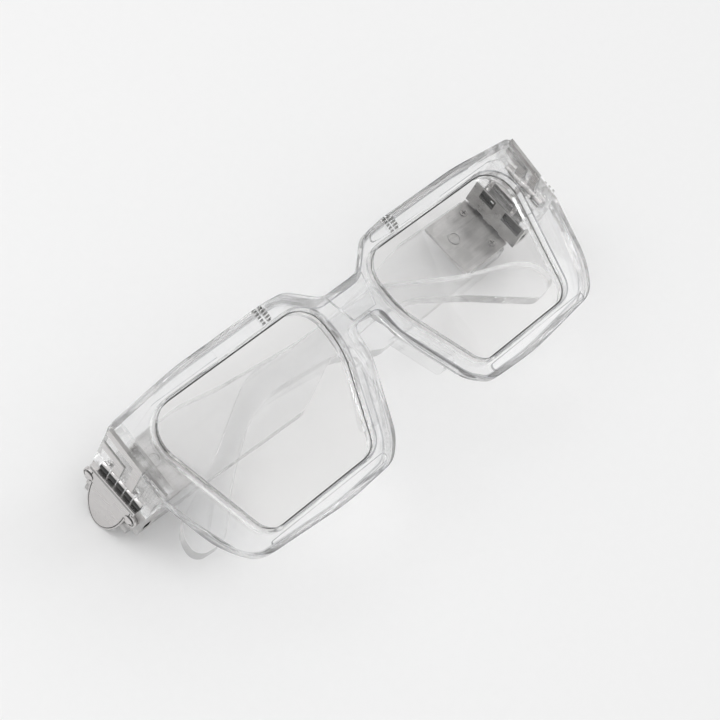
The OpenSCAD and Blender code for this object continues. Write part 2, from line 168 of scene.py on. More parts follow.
class Signal:
    """One node socket that arithmetic can be written with, so materials read as expressions."""

    def __init__(self, tree: bpy.types.NodeTree, socket: bpy.types.NodeSocket) -> None:
        """Wraps an output of a node in a tree."""
        self.tree = tree
        self.socket = socket

    def _math(self, operation: str, *others: "Signal | float") -> "Signal":
        """Adds one Math node on this signal and others."""
        inputs = dict(enumerate((self, *others)))
        return add_node(self.tree, "ShaderNodeMath", {"operation": operation}, inputs).out(0)

    def __add__(self, other: "Signal | float") -> "Signal":
        """Sum of two signals, or of a signal and a number."""
        return self._math("ADD", other)

    def __sub__(self, other: "Signal | float") -> "Signal":
        """Difference from another signal or a number."""
        return self._math("SUBTRACT", other)

    def __rsub__(self, other: float) -> "Signal":
        """A number less this signal."""
        return (self * -1.0) + other

    def __mul__(self, other: "Signal | float") -> "Signal":
        """Product of two signals, or of a signal and a number."""
        return self._math("MULTIPLY", other)

    __radd__ = __add__
    __rmul__ = __mul__

    def remap(self, low: float, high: float, to_low: float = 0.0, to_high: float = 1.0) -> "Signal":
        """Maps low..high to to_low..to_high, held at the ends."""
        inputs = {"Value": self, "From Min": low, "From Max": high, "To Min": to_low, "To Max": to_high}
        return add_node(self.tree, "ShaderNodeMapRange", {}, inputs).out("Result")

    def mix(self, dark: Colour, light: Colour) -> "Signal":
        """A colour between dark at 0 and light at 1; a Mix node's colours go by number, as their names repeat."""
        return add_node(self.tree, "ShaderNodeMix", {"data_type": "RGBA"}, {0: self, 6: dark, 7: light}).out(2)


@dataclass(frozen=True)
class NodeBox:
    """A node and its tree."""

    tree: bpy.types.NodeTree
    node: bpy.types.Node

    def out(self, name: "int | str") -> Signal:
        """One of the node's outputs."""
        return Signal(self.tree, self.node.outputs[name])


def add_node(
    tree: bpy.types.NodeTree, kind: str, settings: dict[str, object], inputs: dict["int | str", object],
) -> NodeBox:
    """Adds a node.

    Args:
        tree: where it goes.
        kind: its type.
        settings: its properties, set first.
        inputs: values or signals of its sockets, by name or number; a colour may have three numbers.

    Returns:
        The node in its box.
    """
    node = tree.nodes.new(kind)
    for name, value in settings.items():
        setattr(node, name, value)
    for name, value in inputs.items():
        socket = node.inputs[name]
        if isinstance(value, Signal):
            tree.links.new(value.socket, socket)
        elif socket.type == "RGBA" and len(value) == 3:
            socket.default_value = (*value, 1.0)
        else:
            socket.default_value = value
    return NodeBox(tree, node)


@dataclass(frozen=True)
class Noise:
    """Noise over a piece, with features about 1/scale metres long."""

    scale: float
    detail: float = 2.0
    stretch: tuple[float, float, float] = (1.0, 1.0, 1.0)


class MaterialKit:
    """A material's node tree with the few sources and shaders that this scene draws on."""

    CLEAR = (0.97, 0.97, 0.97)

    def __init__(self, name: str) -> None:
        """Starts an empty material of this name."""
        self.material = bpy.data.materials.new(name)
        self.material.use_nodes = True
        self.tree = self.material.node_tree
        self.tree.nodes.clear()

    def noise(self, noise: Noise) -> Signal:
        """Noise on the piece's own coordinates.

        Args:
            noise: its scale, detail and stretch.

        Returns:
            Its value, from 0 to 1.
        """
        place = add_node(self.tree, "ShaderNodeTexCoord", {}, {}).out("Object")
        mapped = add_node(self.tree, "ShaderNodeMapping", {}, {"Vector": place, "Scale": noise.stretch}).out(0)
        inputs = {"Vector": mapped, "Scale": noise.scale, "Detail": noise.detail}
        return add_node(self.tree, "ShaderNodeTexNoise", {}, inputs).out("Fac")

    def bump(self, height: Signal, strength: float, distance: float) -> Signal:
        """A normal raised by height times distance."""
        inputs = {"Height": height, "Strength": strength, "Distance": distance}
        return add_node(self.tree, "ShaderNodeBump", {}, inputs).out(0)

    def surface(self, **sockets: object) -> Signal:
        """A principled shader; an underscore in a socket's name stands for a space."""
        inputs = {name.replace("_", " "): value for name, value in sockets.items()}
        return add_node(self.tree, "ShaderNodeBsdfPrincipled", {}, inputs).out(0)

    def clear_through(self, shader: Signal, seen: float, lit: float) -> Signal:
        """Lets light straight through, as thin clear plastic does.

        Args:
            shader: the surface.
            seen: how much of what lies behind is seen unbent.
            lit: how much of a shadow ray gets through.

        Returns:
            The surface with its straight view and its light shadow.
        """
        clear = add_node(self.tree, "ShaderNodeBsdfTransparent", {}, {"Color": self.CLEAR}).out(0)
        shadow = add_node(self.tree, "ShaderNodeLightPath", {}, {}).out("Is Shadow Ray")
        inputs = {0: shadow * lit + (1.0 - shadow) * seen, 1: shader, 2: clear}
        return add_node(self.tree, "ShaderNodeMixShader", {}, inputs).out(0)

    def done(self, shader: Signal) -> bpy.types.Material:
        """Ends the tree in this shader."""
        add_node(self.tree, "ShaderNodeOutputMaterial", {}, {"Surface": shader})
        return self.material


@dataclass(frozen=True)
class ClearPlastic:
    """Clear plastic: a faint haze in its tint and gloss, and slight waves from polishing by hand."""

    name: str
    thick: Colour
    thin: Colour
    ior: float
    seen: float = 0.0
    lit: float = 0.86
    transmission: float = 1.0
    haze: Noise = Noise(700.0, 3.0)
    tint_at: Span = (0.3, 0.7)
    rough: Span = (0.01, 0.045)
    rough_at: Span = (0.35, 0.75)
    waves: Noise | None = Noise(55.0, 1.0)
    wave_strength: float = 0.08
    wave_height: float = 0.0003

    def material(self) -> bpy.types.Material:
        """Makes the material."""
        kit = MaterialKit(self.name)
        haze = kit.noise(self.haze)
        sockets = {
            "Base_Color": haze.remap(*self.tint_at).mix(self.thick, self.thin),
            "Roughness": haze.remap(*self.rough_at, *self.rough),
            "Transmission_Weight": self.transmission,
            "IOR": self.ior,
        }
        if self.waves:
            sockets["Normal"] = kit.bump(kit.noise(self.waves), self.wave_strength, self.wave_height)
        return kit.done(kit.clear_through(kit.surface(**sockets), self.seen, self.lit))


@dataclass(frozen=True)
class Plating:
    """Plated metal: its grain drives the gloss and the bump, and a cloud or the grain drives the tone."""

    name: str
    dark: Colour
    light: Colour
    metallic: float
    grain: Noise
    rough: Span
    rough_at: Span = (0.3, 0.7)
    tone_at: Span = (0.3, 0.7)
    cloud: Noise | None = None
    grain_share: float = 0.0
    bump: Span | None = None

    def material(self) -> bpy.types.Material:
        """Makes the material."""
        kit = MaterialKit(self.name)
        grain = tone = kit.noise(self.grain)
        if self.cloud:
            tone = kit.noise(self.cloud)
        if self.grain_share:
            tone = grain * self.grain_share + tone * (1 - self.grain_share)
        sockets = {
            "Base_Color": tone.remap(*self.tone_at).mix(self.dark, self.light),
            "Metallic": self.metallic,
            "Roughness": grain.remap(*self.rough_at, *self.rough),
        }
        if self.bump:
            sockets["Normal"] = kit.bump(grain, *self.bump)
        return kit.done(kit.surface(**sockets))


@dataclass(frozen=True)
class MattTable:
    """Pale matt table with a faint grain."""

    name: str = "PaleTable"
    dark: Colour = (0.853, 0.853, 0.853)
    light: Colour = (0.859, 0.859, 0.859)
    grain: Noise = Noise(400.0, 2.0)
    grain_at: Span = (0.3, 0.7)
    rough: float = 0.9
    gloss: float = 0.1

    def material(self) -> bpy.types.Material:
        """Makes the material."""
        kit = MaterialKit(self.name)
        tone = kit.noise(self.grain).remap(*self.grain_at).mix(self.dark, self.light)
        return kit.done(kit.surface(Base_Color=tone, Roughness=self.rough, Specular_IOR_Level=self.gloss))


LOOKS: dict[Finish, ClearPlastic | Plating] = {
    # The front, the temples, and the soft nose pads, which hardly show.
    Finish.ACETATE: ClearPlastic(
        "ClearAcetate", (0.955, 0.957, 0.96), (0.985, 0.987, 0.988), ior=1.45, seen=0.2),
    Finish.THIN: ClearPlastic(
        "ThinAcetate", (0.955, 0.957, 0.96), (0.985, 0.986, 0.987), ior=1.4, seen=0.28),
    Finish.PAD: ClearPlastic(
        "PadAcetate", (0.95, 0.952, 0.955), (0.985, 0.986, 0.987), ior=1.14, seen=0.6),
    # Rounded edges of the rims, tinted grey as a painted reflection of the dim surroundings, in fine lines.
    Finish.EDGE: ClearPlastic(
        "AcetateEdge", (0.24, 0.245, 0.265), (0.66, 0.665, 0.68), ior=1.3, lit=0.8, waves=None,
        haze=Noise(45.0, 1.0), tint_at=(0.35, 0.65), rough=(0.02, 0.06), rough_at=(0.35, 0.65)),
    # Rounded edges of the temples, whitened as a painted highlight of the light from above.
    Finish.GLEAM: ClearPlastic(
        "GleamingEdge", (0.9, 0.9, 0.905), (1.0, 1.0, 1.0), ior=1.4, seen=0.15, lit=0.8, waves=None,
        transmission=0.35, haze=Noise(60.0), tint_at=(0.35, 0.65), rough=(0.2, 0.35),
        rough_at=(0.35, 0.65)),
    Finish.LENS: ClearPlastic(
        "ClearLens", (0.912, 0.908, 0.904), (0.926, 0.922, 0.918), ior=1.3, lit=0.9, waves=None,
        haze=Noise(90.0), rough=(0.0, 0.015)),
    # Polished silver plating with fine handling marks.
    Finish.STEEL: Plating(
        "PolishedSteel", (0.655, 0.638, 0.632), (0.69, 0.672, 0.665), 1.0, Noise(900.0, 4.0, (1.0, 0.15, 1.0)),
        rough=(0.27, 0.285), rough_at=(0.3, 0.75), cloud=Noise(140.0), bump=(0.01, 0.00001)),
    # Satin plating, brushed along the plate.
    Finish.SATIN: Plating(
        "SatinNickel", (0.47, 0.465, 0.46), (0.66, 0.65, 0.645), 1.0, Noise(1500.0, 3.0, (0.06, 1.0, 1.0)),
        rough=(0.28, 0.45), tone_at=(0.4, 0.6), cloud=Noise(260.0, 4.0), grain_share=0.35,
        bump=(0.2, 0.00003)),
    # Plating with painted light, for where the clear end piece, pressed against it, lights it from the front.
    Finish.CONTACT: Plating(
        "BrightContact", (0.80, 0.80, 0.80), (0.88, 0.88, 0.88), 0.1, Noise(300.0), rough=(0.3, 0.5)),
    # Plating darkened by painted shade, for metal that lies in its own shade.
    Finish.SHADE: Plating(
        "DarkenedSteel", (0.27, 0.267, 0.262), (0.42, 0.415, 0.41), 0.9, Noise(260.0, 3.0), rough=(0.25, 0.4)),
    # Rough plating seen through the clear end piece, which breaks it up into grains.
    Finish.MOTTLED: Plating(
        "MottledPlating", (0.38, 0.375, 0.365), (0.95, 0.945, 0.935), 0.15, Noise(900.0, 3.0),
        rough=(0.3, 0.6), tone_at=(0.42, 0.58), cloud=Noise(400.0, 3.0), grain_share=0.6,
        bump=(0.3, 0.0001)),
    # Painted shade, near black, inside slots and pockets and on dark lines, knuckles and screw sides.
    Finish.RECESS: Plating(
        "ShadedRecess", (0.012, 0.012, 0.012), (0.04, 0.04, 0.039), 0.1, Noise(1200.0), rough=(0.35, 0.55)),
}


def within(value: float, span: Span) -> bool:
    """Whether a value lies between a span's ends."""
    return span[0] < value < span[1]


@dataclass(frozen=True)
class Zone:
    """A box that picks faces by their middle, in millimetres of a piece's own frame."""

    x: Span = ANY
    y: Span = ANY
    z: Span = ANY

    def holds(self, point: Vector) -> bool:
        """Whether a point lies inside."""
        return all(within(value, span) for value, span in zip(point, (self.x, self.y, self.z)))


class MeshShop:
    """Works solids up into finished pieces."""

    DOUBLES = 2e-6
    FLAT = math.radians(0.6)
    SMOOTH = math.radians(38.0)

    def __init__(self, nodes: dict[str, bpy.types.Object]) -> None:
        """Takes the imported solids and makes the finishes, one material each."""
        self.nodes = nodes
        self.materials = {finish: look.material() for finish, look in LOOKS.items()}

    def copy_solid(self, node: str) -> bmesh.types.BMesh:
        """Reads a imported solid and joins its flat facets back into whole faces.

        Args:
            node: name of the solid.

        Returns:
            A mesh that the caller frees.
        """
        mesh = bmesh.new()
        mesh.from_mesh(self.nodes[node].data)
        bmesh.ops.remove_doubles(mesh, verts=mesh.verts, dist=self.DOUBLES)
        bmesh.ops.dissolve_limit(mesh, angle_limit=self.FLAT, verts=mesh.verts, edges=mesh.edges)
        return mesh

    @staticmethod
    def round_edges(
        mesh: bmesh.types.BMesh, width: float, segments: int = 2, angle: float = 30.0,
        wanted: EdgeTest = lambda edge: True, clamp: bool = True, index: int = -1,
    ) -> None:
        """Rounds every edge that is sharper than angle.

        Args:
            mesh: the piece.
            width: reach of the rounding from the edge, in the mesh's own unit.
            segments: faces across the rounding.
            angle: smallest angle between two faces that counts as an edge, in degrees.
            wanted: further test of an edge.
            clamp: whether the smallest face limits the rounding everywhere.
            index: number of the finish that the rounding gets, or -1 for that of its neighbours.
        """
        limit = math.radians(angle)
        edges = [
            e for e in mesh.edges
            if len(e.link_faces) == 2 and e.calc_face_angle(0.0) > limit and wanted(e)
        ]
        if not edges:
            return
        rounded = bmesh.ops.bevel(
            mesh, geom=edges, offset=width, offset_type="WIDTH", segments=segments, profile=0.5,
            affect="EDGES", clamp_overlap=clamp, harden_normals=False, material=-1,
        )["faces"]
        if index >= 0:
            for face in rounded:
                face.material_index = index

    @staticmethod
    def paint(mesh: bmesh.types.BMesh, index: int, to_local: Matrix, wanted: FaceTest) -> None:
        """Gives faces another of the piece's finishes.

        Args:
            mesh: the piece.
            index: number of the finish.
            to_local: turns a row point into the frame that the test reads, in millimetres there.
            wanted: test of a face's middle and its outward direction.
        """
        turn = to_local.to_3x3()
        for face in mesh.faces:
            if wanted((to_local @ face.calc_center_median()) / MM, (turn @ face.normal).normalized()):
                face.material_index = index

    @staticmethod
    def draw_line(
        mesh: bmesh.types.BMesh, faces: list[bmesh.types.BMFace], inset: float, width: float,
    ) -> list[bmesh.types.BMFace]:
        """Cuts a line into faces, all along their border.

        Args:
            mesh: the piece.
            faces: the faces, which shrink to what lies inside the line.
            inset: how far the line lies from the border, in millimetres.
            width: width of the line, in millimetres.

        Returns:
            The faces of the line.
        """
        bmesh.ops.inset_region(mesh, faces=faces, thickness=inset * MM, use_even_offset=True)
        return bmesh.ops.inset_region(mesh, faces=faces, thickness=width * MM, use_even_offset=True)["faces"]

    def finish(
        self, mesh: bmesh.types.BMesh, name: str, finishes: Sequence[Finish], body: str,
        stands_for: Iterable[str] = (),
    ) -> None:
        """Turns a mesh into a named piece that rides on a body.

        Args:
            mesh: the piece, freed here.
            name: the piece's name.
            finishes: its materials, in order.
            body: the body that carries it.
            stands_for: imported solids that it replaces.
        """
        for face in mesh.faces:
            face.smooth = True
        data = bpy.data.meshes.new(name)
        mesh.to_mesh(data)
        mesh.free()
        data.set_sharp_from_angle(angle=self.SMOOTH)
        thing = bpy.data.objects.new(name, data)
        bpy.context.scene.collection.objects.link(thing)
        for finish in finishes:
            data.materials.append(self.materials[finish])
        weighted = thing.modifiers.new("Shading", "WEIGHTED_NORMAL")
        weighted.keep_sharp = True
        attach(thing, body)
        names = tuple(stands_for)
        if names:
            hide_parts(*names)
        LOG.info("%s: %d faces", name, len(data.polygons))


@dataclass(frozen=True)
class ClearFront:
    """The clear front: rims, bridge, bars and end pieces in one, in millimetres of the front's frame.

    X runs across the face, Y towards the brow and Z out of the bowed face.
    """

    # The bowed face, the rims and the depths between which their back edge slopes.
    half_w: float = 72.0
    bow_r: float = 1000.0
    bow_bands: int = 9
    rim_t: float = 6.0
    facet_raise: float = 0.7
    steps: tuple[Span, ...] = ((3.12, 4.74), (4.74, 6.0))
    level_slack: float = 0.03
    merge: float = 0.004
    sliver: float = 0.003

    # Roundings, and the end pieces and notches, whose edges stay sharp.
    outline_round: float = 0.42
    bar_round: float = 0.2
    sharp: float = 40.0
    lug_x: float = 65.5
    lug_y: float = -3.0
    notch_x: float = 23.0
    notch_half_w: float = 1.1
    sharp_notch_w: float = 2.2
    sharp_notch_y: float = 15.0

    # The two slots of a notch, how far round it the comb is cut, and how many teeth in a row get painted shade.
    slot_w: float = 0.45
    slot_slack: float = 0.01
    slot_y: Span = (19.9, 25.0)
    slot_depth: Span = (0.05, 2.0)
    comb_w: float = 1.4
    comb_y: float = 19.0
    comb_depth: float = 2.2
    tooth: float = 0.28
    dark_teeth: tuple[int, int] = (2, 3)

    FINISHES = (Finish.ACETATE, Finish.SHADE, Finish.EDGE)

    def depth(self, point: Vector) -> float:
        """How deep a point lies behind the bowed face, which has flat bands.

        Args:
            point: a point of the front's frame.

        Returns:
            The depth, less than 0 on the raised bars.
        """
        band_w = self.half_w * 2 / self.bow_bands
        place = point.x / band_w + 0.5
        k = math.floor(place)
        near, far = (math.sqrt(self.bow_r ** 2 - (band_w * (i - 0.5)) ** 2) - self.bow_r for i in (k, k + 1))
        return near + (far - near) * (place - k) - point.z

    def build(self, shop: MeshShop, pose: Pose) -> None:
        """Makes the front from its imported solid.

        Args:
            shop: where the mesh is made.
            pose: how the front lies.
        """
        mesh = shop.copy_solid("front_frame")
        to_front = pose.matrix.inverted()
        bmesh.ops.transform(mesh, matrix=Matrix.Scale(1 / MM, 4) @ to_front, verts=mesh.verts)
        self._slope_back(mesh)
        self._round(shop, mesh)
        self._cut_comb(mesh)
        bmesh.ops.transform(mesh, matrix=pose.matrix @ Matrix.Scale(MM, 4), verts=mesh.verts)
        # Painted shade on the comb's dark teeth in the notches' slots.
        shop.paint(mesh, self.FINISHES.index(Finish.SHADE), to_front, self._on_dark_tooth)
        shop.finish(mesh, "front_clear", self.FINISHES, "front", ["front_frame"])

    def _slope_back(self, mesh: bmesh.types.BMesh) -> None:
        """Turns the steps in the rims' back edge into slopes, by lowering each inner corner to the next step.

        Args:
            mesh: the front.
        """
        for start, end in self.steps:
            low = [
                v for v in mesh.verts
                if abs(self.depth(v.co) - start) < self.level_slack and all(
                    self.depth(f.calc_center_median()) > start - self.level_slack for f in v.link_faces)
            ]
            for vert in low:
                vert.co.z -= end - start
            bmesh.ops.remove_doubles(mesh, verts=mesh.verts, dist=self.merge)
        bmesh.ops.dissolve_degenerate(mesh, dist=self.sliver, edges=mesh.edges)

    def _round(self, shop: MeshShop, mesh: bmesh.types.BMesh) -> None:
        """Rounds the front's outlines at its back and face, then the raised bars, in the grey of a painted
        reflection.

        Args:
            shop: where the mesh is made.
            mesh: the front.
        """
        def level(edge: bmesh.types.BMEdge, depth: float) -> bool:
            """Whether an edge runs at this depth, away from the end pieces."""
            near_lug = any(abs(v.co.x) > self.lug_x and v.co.y > self.lug_y for v in edge.verts)
            return edge.is_convex and not near_lug and all(
                abs(self.depth(v.co) - depth) < self.level_slack for v in edge.verts)

        def off_notch(edge: bmesh.types.BMEdge) -> bool:
            """Whether an edge keeps away from the notches, which stay sharp."""
            return all(
                abs(abs(v.co.x) - self.notch_x) > self.sharp_notch_w or v.co.y < self.sharp_notch_y
                for v in edge.verts)

        grey = self.FINISHES.index(Finish.EDGE)
        jobs: tuple[tuple[float, int, EdgeTest], ...] = (
            (self.outline_round, 3, lambda e: level(e, self.rim_t)),
            (self.outline_round, 3, lambda e: level(e, 0.0) and off_notch(e)),
            (self.bar_round, 2, lambda e: level(e, -self.facet_raise) and off_notch(e)),
        )
        for width, segments, wanted in jobs:
            shop.round_edges(mesh, width, segments, self.sharp, wanted, clamp=False, index=grey)

    def _cut_comb(self, mesh: bmesh.types.BMesh) -> None:
        """Cuts the faces in and around the notches across, for the comb in their slots.

        Args:
            mesh: the front.
        """
        first, last = (end / self.tooth for end in self.slot_y)
        for k in range(math.ceil(first), math.floor(last) + 1):
            near = [f for f in mesh.faces if all(
                abs(abs(v.co.x) - self.notch_x) < self.comb_w and v.co.y > self.comb_y
                and self.depth(v.co) < self.comb_depth for v in f.verts)]
            parts = {*near, *(e for f in near for e in f.edges), *(v for f in near for v in f.verts)}
            bmesh.ops.bisect_plane(
                mesh, geom=list(parts), plane_co=Vector((0, k * self.tooth, 0)), plane_no=Vector((0, 1, 0)))

    def _on_dark_tooth(self, middle: Vector, _out: Vector) -> bool:
        """Whether a face lies inside a notch's slot, on one of the comb's dark teeth of painted shade.

        Args:
            middle: the face's middle.
            _out: its outward direction, which doesn't count here.

        Returns:
            True on a dark tooth.
        """
        dark, period = self.dark_teeth
        if math.floor(middle.y / self.tooth) % period >= dark:
            return False
        offset = self.notch_half_w - self.slot_w / 2
        near = min(abs(abs(middle.x) - (self.notch_x + k * offset)) for k in (-1, 1))
        in_slot = near < self.slot_w / 2 + self.slot_slack
        return in_slot and within(middle.y, self.slot_y) and within(self.depth(middle), self.slot_depth)


@dataclass(frozen=True)
class HingeSet:
    """The metal on one end piece, in millimetres of the hinge's frame.

    X runs out of the side, Y up the hinge axis and Z towards the lenses.
    """

    # The side plate's face, its bar with a panel of painted shade, and its border line of painted shade.
    flat: float = 0.99
    plate_x: Span = (3.25, 3.35)
    bar_x: float = 3.6
    line_inset: float = 0.34
    line_w: float = 0.26
    line_end: float = 11.5
    plate_round: float = 0.1
    plate_angle: float = 60.0

    # The block's front and its side towards the nose, and the zones of painted shade and painted light.
    block_round: float = 0.12
    facing: float = 0.9
    inner_x: float = -2.55
    front_z: float = 13.8
    bright_ends: Span = (-7.6, 5.6)
    holes: Zone = Zone((-2.52, -1.7), (-9.8, 5.8), (9.75, 11.85))
    foot_slot: Zone = Zone((-1.05, 1.05), (-10.3, -8.75), (5.9, 8.7))
    pockets: tuple[Zone, ...] = (
        Zone(y=(-9.6, -3.1), z=(8.9, 12.5)),
        Zone(y=(0.5, 5.6), z=(8.9, 12.5)),
    )
    fleck: Zone = Zone((-math.inf, -1.7), (1.2, 2.3), (10.5, 11.6))

    # The row of knuckles, in painted shade up to this height, and the slats between them, in painted light.
    row_round: float = 0.08
    row_dark_z: float = 16.7
    slats: int = 4
    slat_first: Vector = Vector((1.6, -5.14, 16.0))
    slat_pitch: float = 2.76
    slat_size: tuple[float, float, float] = (1.9, 0.4, 3.2)
    slat_round: float = 0.06

    PLATE_FINISHES = (Finish.STEEL, Finish.RECESS, Finish.SHADE)
    BLOCK_FINISHES = (Finish.SATIN, Finish.RECESS, Finish.CONTACT, Finish.SHADE, Finish.MOTTLED)
    ROW_FINISHES = (Finish.STEEL, Finish.RECESS)

    def side_plate(self, shop: MeshShop, to_side: Matrix, node: str, body: str) -> None:
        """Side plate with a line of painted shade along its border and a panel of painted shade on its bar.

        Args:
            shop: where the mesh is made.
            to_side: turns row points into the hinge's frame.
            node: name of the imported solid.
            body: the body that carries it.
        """
        mesh = shop.copy_solid(node)
        turn = to_side.to_3x3()

        def level(face: bmesh.types.BMFace) -> float:
            """How far out a face lies that looks outwards, or -inf for another face."""
            outwards = (turn @ face.normal).x > self.flat
            return (to_side @ face.verts[0].co).x / MM if outwards else -math.inf

        plate = [f for f in mesh.faces if within(level(f), self.plate_x)]
        # A line of painted shade along the plate's border.
        for item in shop.draw_line(mesh, plate, self.line_inset, self.line_w):
            if (to_side @ item.calc_center_median()).z / MM < self.line_end:
                item.material_index = self.PLATE_FINISHES.index(Finish.RECESS)
        # A panel of painted shade on the bar.
        bar = max((f for f in mesh.faces if level(f) > self.bar_x), key=lambda f: f.calc_area())
        bmesh.ops.inset_region(mesh, faces=[bar], thickness=self.line_inset * MM, use_even_offset=True)
        bar.material_index = self.PLATE_FINISHES.index(Finish.SHADE)
        shop.round_edges(mesh, self.plate_round * MM, angle=self.plate_angle, wanted=lambda e: e.is_convex)
        shop.finish(mesh, f"{node}_made", self.PLATE_FINISHES, body, [node])

    def hinge_block(self, shop: MeshShop, to_side: Matrix, node: str, body: str) -> None:
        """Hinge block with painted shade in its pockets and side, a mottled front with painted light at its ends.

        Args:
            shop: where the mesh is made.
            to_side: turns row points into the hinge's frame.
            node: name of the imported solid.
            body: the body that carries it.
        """
        mesh = shop.copy_solid(node)
        shop.round_edges(mesh, self.block_round * MM)

        def paint(finish: Finish, wanted: FaceTest) -> None:
            """Gives faces one of the block's finishes."""
            shop.paint(mesh, self.BLOCK_FINISHES.index(finish), to_side, wanted)

        def front(middle: Vector, out: Vector) -> bool:
            """Whether a face is a part of the block's front, which the end piece covers."""
            return out.z > self.facing and middle.z > self.front_z

        def inner(middle: Vector, out: Vector) -> bool:
            """Whether a face is a part of the block's side towards the nose."""
            return out.x < -self.facing and middle.x < self.inner_x

        # Painted shade inside the holes and the foot slot.
        paint(Finish.RECESS, lambda p, out: self.holes.holds(p))
        paint(Finish.RECESS, lambda p, out: self.foot_slot.holds(p))
        self._cut_block(mesh, to_side.inverted())
        paint(Finish.MOTTLED, front)
        # Painted light on the front's ends, outside its mottled middle.
        paint(Finish.CONTACT, lambda p, out: front(p, out) and not Zone(y=self.bright_ends).holds(p))
        # Painted shade on the side towards the nose, darkest in its pockets.
        paint(Finish.SHADE, inner)
        paint(Finish.RECESS, lambda p, out: inner(p, out) and any(zone.holds(p) for zone in self.pockets))
        # A fleck of painted highlight in a pocket.
        paint(Finish.CONTACT, lambda p, out: out.x < -self.facing and self.fleck.holds(p))
        shop.finish(mesh, f"{node}_made", self.BLOCK_FINISHES, body, [node])

    def _cut_block(self, mesh: bmesh.types.BMesh, to_row: Matrix) -> None:
        """Cuts the block's faces where its painted zones end.

        Args:
            mesh: the block.
            to_row: turns points of the hinge's frame into row points.
        """
        zones = (*self.pockets, self.fleck)
        across = sorted({*self.bright_ends, *(end for zone in zones for end in zone.y)})
        along = (*self.pockets[0].z, *self.fleck.z)
        up, ahead = Vector((0, 1, 0)), Vector((0, 0, 1))
        for way, place in [*((up, y) for y in across), *((ahead, z) for z in along)]:
            whole = [*mesh.verts, *mesh.edges, *mesh.faces]
            bmesh.ops.bisect_plane(
                mesh, geom=whole, plane_co=to_row @ (way * place * MM), plane_no=to_row.to_3x3() @ way)

    def knuckle_row(self, shop: MeshShop, to_row: Matrix, node: str, body: str, side: Side) -> None:
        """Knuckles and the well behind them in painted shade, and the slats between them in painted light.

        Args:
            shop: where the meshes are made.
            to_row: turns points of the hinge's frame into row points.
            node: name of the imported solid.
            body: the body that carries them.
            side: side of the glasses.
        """
        mesh = shop.copy_solid(node)
        shop.round_edges(mesh, self.row_round * MM)
        # Painted shade over the knuckles' lower part and the well behind them.
        dark = self.ROW_FINISHES.index(Finish.RECESS)
        shop.paint(mesh, dark, to_row.inverted(), lambda p, out: p.z < self.row_dark_z)
        shop.finish(mesh, f"{node}_made", self.ROW_FINISHES, body, [node])
        size = Matrix.Diagonal((*self.slat_size, 1.0))
        for i in range(self.slats):
            slat = bmesh.new()
            bmesh.ops.create_cube(slat, size=1.0)
            middle = Matrix.Translation(self.slat_first + Vector((0, self.slat_pitch * i, 0)))
            bmesh.ops.transform(slat, matrix=to_row @ Matrix.Scale(MM, 4) @ middle @ size, verts=slat.verts)
            if side is Side.LEFT:
                bmesh.ops.reverse_faces(slat, faces=slat.faces)
            shop.round_edges(slat, self.slat_round * MM, segments=1)
            # The slats get the plating of painted light.
            shop.finish(slat, f"slat_{side.word}_{i + 1}", [Finish.CONTACT], body)


class Painted:
    """Tests, in millimetres, for the faces of paired pieces that get their second finish, which is painted shade.
    """

    WALL = 0.5
    HEAD_FOOT = 0.72
    HEAD_SIDE = 0.93
    HEAD_AWAY = -0.1
    RING_FOOT = -3.11
    RING_FLANK = -0.5
    HEAD_TOP = -3.42

    @classmethod
    def strip_wall(cls, _middle: Vector, out: Vector) -> bool:
        """A strip's wall, which lies in shade in its groove and gets painted shade."""
        return abs(out.x) < cls.WALL

    @classmethod
    def head_side(cls, _middle: Vector, out: Vector) -> bool:
        """A domed screw head's foot in painted shade, and its far side from the lenses as a dark painted
        reflection.
        """
        return out.x < cls.HEAD_FOOT or (out.x < cls.HEAD_SIDE and out.z < cls.HEAD_AWAY)

    @classmethod
    def ring_flank(cls, middle: Vector, out: Vector) -> bool:
        """A flank of the ring that is raised from the temple's plate, which gets painted shade."""
        return middle.x < cls.RING_FOOT and out.x > cls.RING_FLANK

    @classmethod
    def below_top(cls, middle: Vector, _out: Vector) -> bool:
        """All of a plate screw but its head's top, in painted shade, so that the cross in it is dark."""
        return middle.x > cls.HEAD_TOP


@dataclass(frozen=True)
class Rounding:
    """How one kind of paired piece is worked up from its solid; the reach is in millimetres.

    The rounding gets the finish of number index, or that of its neighbours for -1. The faces that
    the painted test picks, in the frame that is named, get the second finish.
    """

    kind: str
    finishes: tuple[Finish, ...]
    reach: float
    segments: int = 2
    angle: float = 30.0
    index: int = -1
    painted: FaceTest | None = None
    frame: Measured = Measured.HINGE


ROUNDINGS = (
    Rounding("nose_pad", (Finish.PAD,), 1.5, segments=4),
    # The lens's second finish is its line of painted shade.
    Rounding("lens", (Finish.LENS, Finish.RECESS), 0.32, segments=1, angle=40.0),
    Rounding("outer_strip", (Finish.STEEL, Finish.SHADE), 0.08, painted=Painted.strip_wall),
    Rounding("inner_strip", (Finish.STEEL, Finish.SHADE), 0.08, painted=Painted.strip_wall),
    Rounding("side_screws", (Finish.STEEL, Finish.RECESS), 0.08, painted=Painted.head_side),
    Rounding("block_screws", (Finish.STEEL,), 0.06),
    Rounding("hinge_pin", (Finish.STEEL,), 0.06),
    # The temples' roundings get a painted highlight.
    Rounding("temple", (Finish.THIN, Finish.GLEAM), 0.55, segments=3, index=1),
    Rounding(
        "hinge_plate", (Finish.SATIN, Finish.RECESS), 0.1, painted=Painted.ring_flank, frame=Measured.TEMPLE),
    Rounding(
        "plate_screws", (Finish.STEEL, Finish.RECESS), 0.04, painted=Painted.below_top, frame=Measured.TEMPLE),
)


